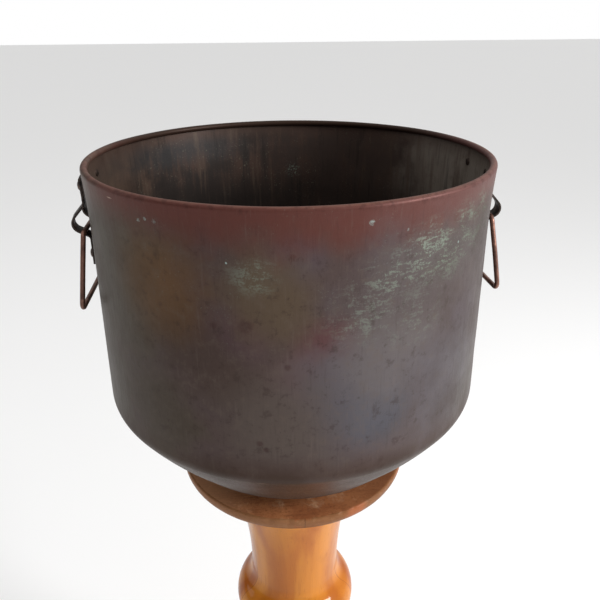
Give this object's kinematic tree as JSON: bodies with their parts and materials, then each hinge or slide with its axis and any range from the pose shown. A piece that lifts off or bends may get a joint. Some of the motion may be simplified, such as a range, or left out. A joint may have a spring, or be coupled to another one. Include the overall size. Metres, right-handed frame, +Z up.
{
  "type": "baptismal font",
  "caption": "Round patinated copper basin with a rolled rim and swinging wire handles, standing loose on the round plate of a turned wooden pedestal.",
  "frame": {"origin": "on the floor under the centre of the pedestal, which is also under the basin's axis", "axes": "+Z up along the basin's and pedestal's axis; the handles hang on -X and +X; the front faces -Y"},
  "size_m": [0.4122, 0.3852, 0.957],
  "materials": {
    "copper_patina": "dark brown patinated copper with green patches",
    "rim_wire_copper": "dull copper",
    "strap_copper": "blackened copper",
    "rivet_copper": "dark copper",
    "handle_copper": "reddish-brown copper wire",
    "turned_wood": "glossy orange varnish",
    "plate_wood": "worn red-brown varnish",
    "base_wood": "glossy orange varnish",
    "brass_screws": "dull brass",
    "steel_bolt": "zinc plated"
  },
  "bodies": {
    "pedestal": {"foot_1": "turned_wood", "foot_2": "turned_wood", "foot_3": "turned_wood", "foot_4": "turned_wood", "foot_screws": "brass_screws", "base_plinth": "base_wood", "base_step": "base_wood", "step_screws": "brass_screws", "column_bolt": "steel_bolt", "column_washer": "steel_bolt", "turned_column": "turned_wood", "top_plate": "plate_wood", "plate_screws": "brass_screws"},
    "basin": {"basin_shell": "copper_patina", "rim_wire": "rim_wire_copper", "left_front_strap": "strap_copper", "left_back_strap": "strap_copper", "right_front_strap": "strap_copper", "right_back_strap": "strap_copper", "left_strap_rivets": "rivet_copper", "right_strap_rivets": "rivet_copper"},
    "left_handle": {"left_handle": "handle_copper"},
    "right_handle": {"right_handle": "handle_copper"}
  },
  "joints": [
    {"name": "basin_lift", "type": "slide", "parent": "pedestal", "child": "basin", "axis": [0, 0, 1], "range_m": [0, 0.1]},
    {"name": "left_handle_swing", "type": "hinge", "parent": "basin", "child": "left_handle", "pos_m": [-0.193, 0, 0.89499], "axis": [0, 1, 0], "range_deg": [-4.5, 165]},
    {"name": "right_handle_swing", "type": "hinge", "parent": "basin", "child": "right_handle", "pos_m": [0.193, 0, 0.89499], "axis": [0, -1, 0], "range_deg": [-4.5, 165]}
  ]
}
